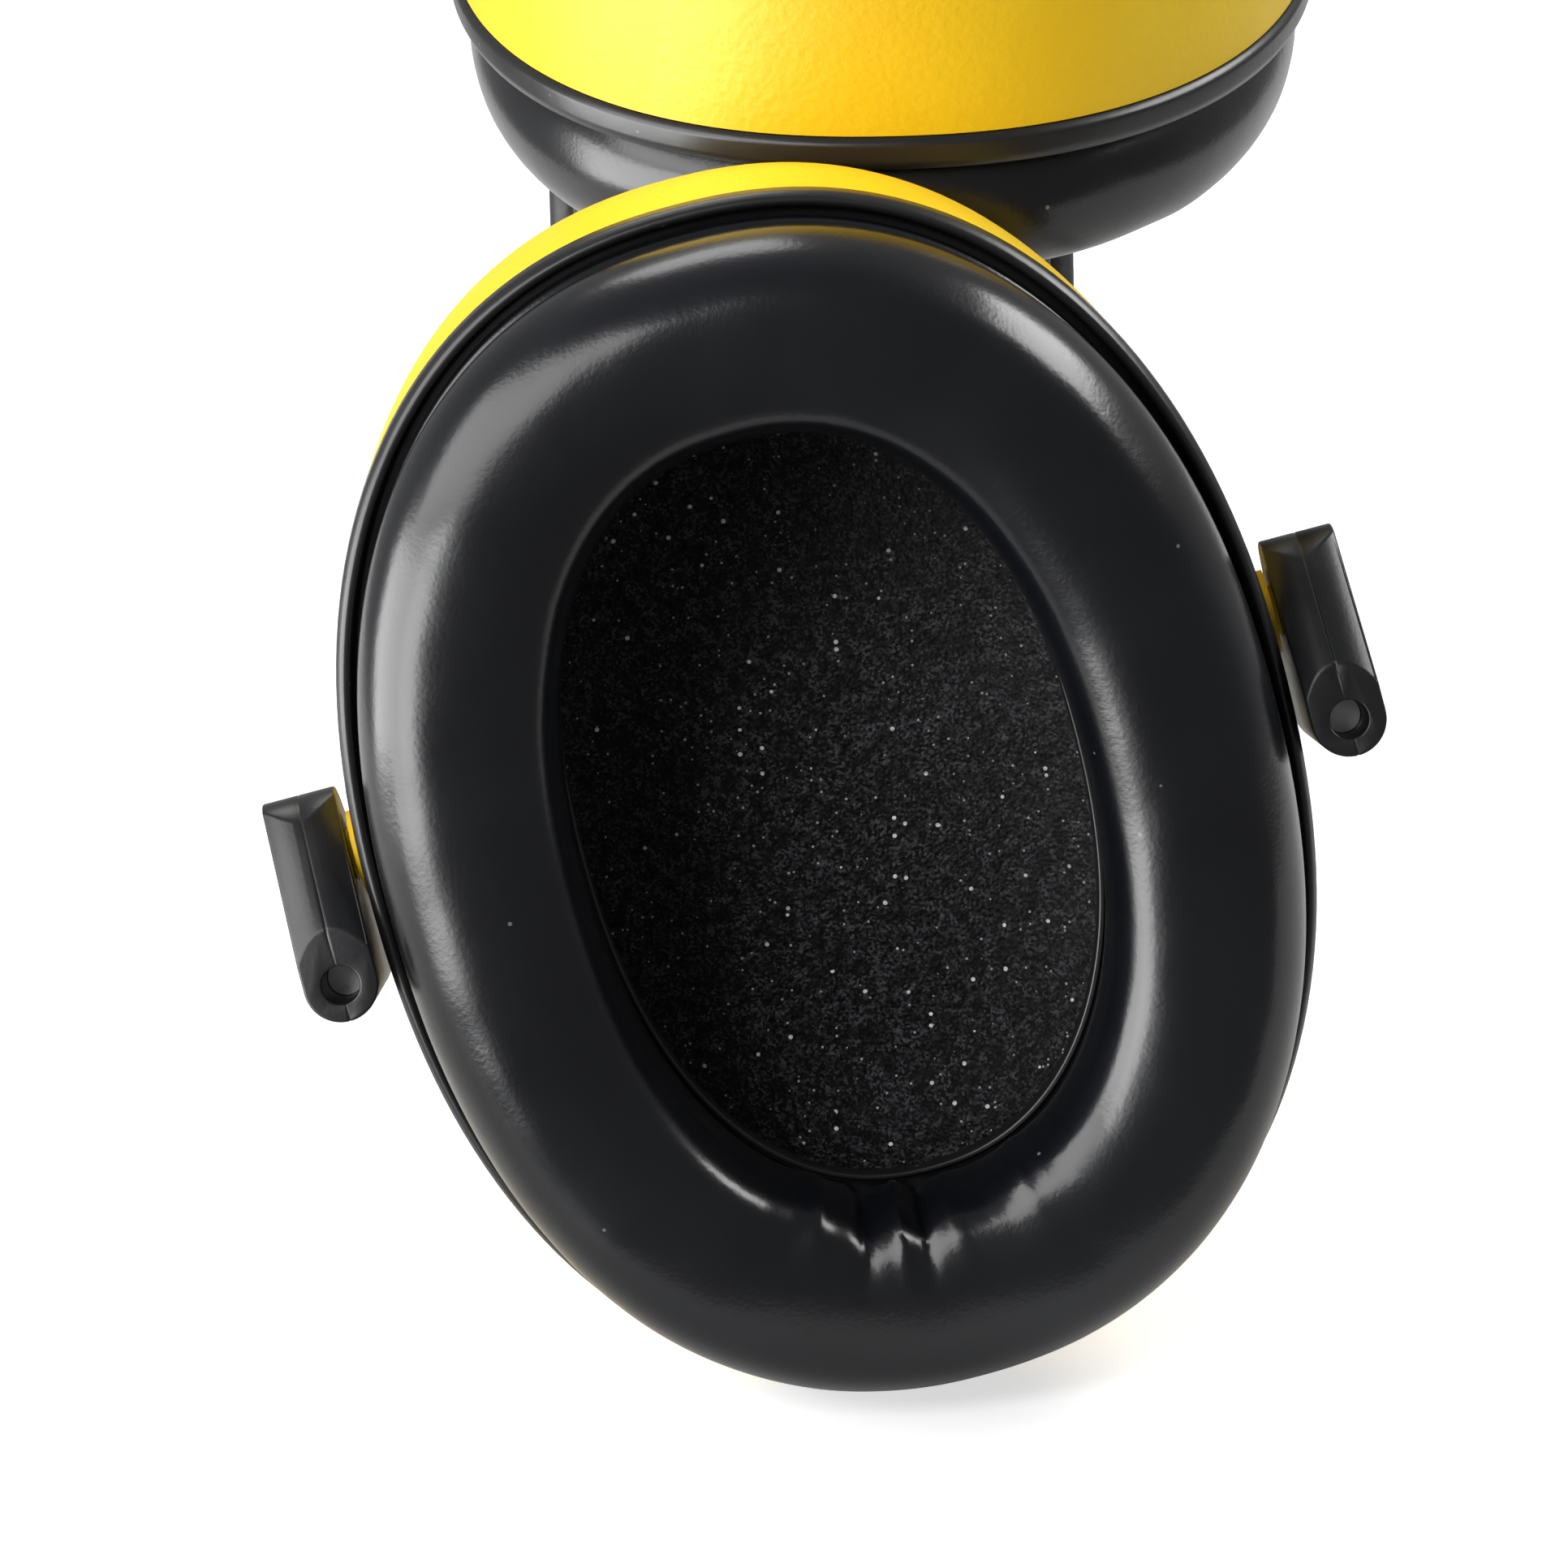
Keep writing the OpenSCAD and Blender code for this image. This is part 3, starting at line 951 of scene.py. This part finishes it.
@dataclass
class Studio:
    """Pale floor, soft lights and the camera at the photograph's angle."""

    pose: LaidPose
    distance: float = 700.0
    frame_px: float = 1932.0
    px_per_mm: float = 13.36
    aim_px: tuple[float, float] = (1029.0, 1008.0)
    aim_height: float = 14.0
    above_legs: float = 3.5
    roll: float = 1.4
    near_rise: float = 4.5
    sensor: float = 36.0
    floor_x: tuple[float, float] = (-0.22, 0.34)
    floor_y: tuple[float, float] = (-0.155, 0.75)
    floor_drop: float = 0.0004

    def camera(self) -> bpy.types.Object:
        """The camera, looking almost along the wire legs at the near cushion.

        Returns:
            The camera object.
        """
        elevation = math.radians(self.pose.leg_slope + self.above_legs)
        aim = self.pose.cup(Cup.NEAR) @ (Vector((0.0, -self.near_rise, self.aim_height)) * MM)
        back = Vector((0.0, -math.cos(elevation), math.sin(elevation)))
        turn = (-back).to_track_quat("-Z", "Y").to_matrix().to_4x4() @ turned("Z", -self.roll)
        offset = [(p - self.frame_px / 2) / self.px_per_mm * MM for p in self.aim_px]
        right, up = turn.col[0].to_3d(), turn.col[1].to_3d()
        lens = bpy.data.cameras.new("camera")
        lens.sensor_width = self.sensor
        lens.lens = self.sensor * self.distance * self.px_per_mm / self.frame_px
        lens.clip_start, lens.clip_end = 0.01, 50.0
        camera = bpy.data.objects.new("camera", lens)
        bpy.context.scene.collection.objects.link(camera)
        stand = aim + back * self.distance * MM - right * offset[0] + up * offset[1]
        camera.matrix_world = Matrix.Translation(stand) @ turn
        bpy.context.scene.camera = camera
        return camera

    def softbox(self, name: str, at: Sequence[float], size: tuple[float, float], power: float,
                shows: Shows) -> None:
        """One lamp panel that faces the part.

        Args:
            name: the lamp's name.
            at: its place in metres.
            size: its width and height in metres.
            power: its power in watts.
            shows: whether it lights the part, is mirrored in it, or both.
        """
        target = Vector((0.0, -0.05, 0.08))
        lamp = bpy.data.lights.new(name, "AREA")
        lamp.shape, lamp.energy = "RECTANGLE", power
        lamp.size, lamp.size_y = size
        box = bpy.data.objects.new(name, lamp)
        box.location = at
        box.rotation_euler = (target - Vector(at)).to_track_quat("-Z", "Y").to_euler()
        box.visible_glossy = shows is not Shows.LIGHT
        box.visible_diffuse = shows is not Shows.MIRROR
        bpy.context.scene.collection.objects.link(box)

    def floor(self) -> None:
        """The pale floor, white to the camera where no shadow falls, and ending just before the part."""
        mesh = bpy.data.meshes.new("floor")
        (left, right), (front, back) = self.floor_x, self.floor_y
        corners = [(left, front, 0), (right, front, 0), (right, back, 0), (left, back, 0)]
        mesh.from_pydata(corners, [], [(0, 1, 2, 3)])
        floor = bpy.data.objects.new("floor", mesh)
        floor.location.z = -self.floor_drop
        bpy.context.scene.collection.objects.link(floor)
        tree = Tree("pale_floor")
        seen = tree.node("ShaderNodeLightPath", {}, {}, "Is Camera Ray")
        tree.put(tree.shader, "Base Color", (0.7, 0.7, 0.7, 1.0))
        tree.put(tree.shader, "Roughness", 0.9)
        tree.put(tree.shader, "Specular IOR Level", 0.1)
        tree.put(tree.shader, "Emission Color", seen)
        tree.put(tree.shader, "Emission Strength", 0.62)
        mesh.materials.append(tree.material)

    def room(self) -> None:
        """The surroundings: white to the camera, a dim light to the part, dimmest from the camera's side."""
        tree = Tree("studio", world=True)
        way = tree.node("ShaderNodeTexCoord", {}, {}, "Generated")
        along = tree.node("ShaderNodeSeparateXYZ", {}, {0: way}, 1)
        seen = tree.node("ShaderNodeLightPath", {}, {}, "Is Camera Ray")
        tree.put(tree.shader, "Color", (1.0, 1.0, 1.0, 1.0))
        tree.put(tree.shader, "Strength", (0.2 + along.step(-0.25, 0.45) * 0.12) * (1.0 - seen) + seen)
        bpy.context.scene.world = tree.material

    def build(self) -> None:
        """Sets camera, lamps, world and floor."""
        scene = bpy.context.scene
        scene.view_settings.view_transform = "Standard"
        self.camera()
        self.floor()
        self.room()
        self.softbox("left_low", (-0.62, -0.32, -0.02), (1.0, 0.4), 11.0, Shows.MIRROR)
        self.softbox("left_high", (-0.6, -0.5, 0.48), (1.2, 0.5), 10.0, Shows.MIRROR)
        self.softbox("left_front", (-0.6, -0.85, -0.08), (0.55, 0.6), 1.8, Shows.MIRROR)
        self.softbox("right", (0.7, 0.05, 0.6), (0.7, 0.3), 7.0, Shows.MIRROR)
        self.softbox("right_fill", (0.6, 0.25, 0.8), (0.5, 0.5), 6.0, Shows.LIGHT)
        self.softbox("left", (-0.7, -0.15, 0.35), (0.9, 0.7), 7.0, Shows.LIGHT)
        self.softbox("top", (-0.3, 0.9, 1.3), (0.6, 0.6), 5.0, Shows.BOTH)
        self.softbox("front", (-0.45, -1.0, 0.75), (0.3, 0.3), 7.0, Shows.LIGHT)


def main() -> None:
    """Builds the dressed earmuffs and the studio."""
    logging.basicConfig(level=logging.INFO, format="%(name)s: %(message)s")
    pose = LaidPose()
    Studio(pose).build()
    for which in Cup:
        EarCup(which, pose).build()
        Sliders(which, pose).build()
    Headband(pose).build()


if __name__ == "__main__":
    main()
